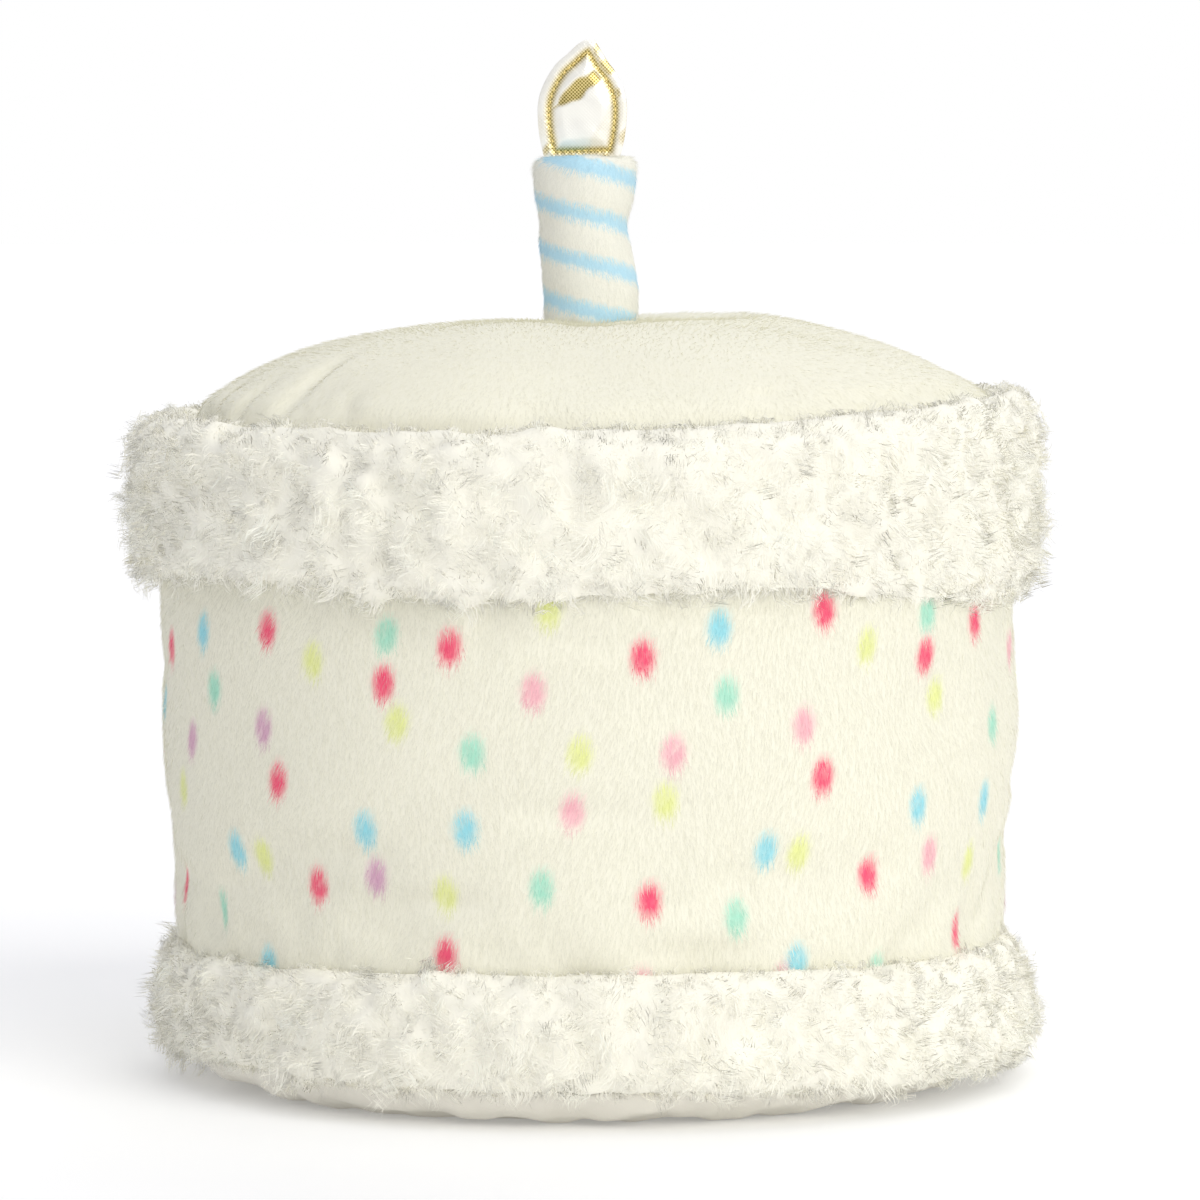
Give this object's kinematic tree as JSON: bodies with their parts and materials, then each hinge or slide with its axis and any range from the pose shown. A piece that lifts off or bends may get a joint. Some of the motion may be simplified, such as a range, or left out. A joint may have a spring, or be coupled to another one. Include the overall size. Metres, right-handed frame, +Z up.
{
  "type": "plush toy birthday cake with a candle",
  "caption": "Round stuffed plush birthday cake with a dotted side, fluffy bands at top and base, and a soft striped candle with a flat gold flame.",
  "frame": {"origin": "middle of the flat base, at the height of the surface it stands on", "axes": "+Z up through the candle, -Y towards the front, +X to the front view's right"},
  "size_m": [0.2039, 0.2029, 0.229],
  "materials": {
    "printed_pile": "short cream pile printed with small soft dots in red, pink, yellow, mint and blue",
    "plain_pile": "plain short cream pile, brushed flat",
    "base_cloth": "plain smooth cream knitted cloth",
    "top_fluff": "long curly off-white pile with a slight gloss",
    "base_fluff": "long curly off-white pile with a slight gloss",
    "candle_pile": "short off-white pile with pale blue slanting stripes",
    "flame_lame": "woven gold metallic cloth with a stitched edge"
  },
  "bodies": {
    "root": {"drum": "printed_pile", "top_panel": "plain_pile", "base_panel": "base_cloth", "top_band": "top_fluff", "base_band": "base_fluff", "candle": "candle_pile", "flame": "flame_lame"}
  },
  "joints": []
}
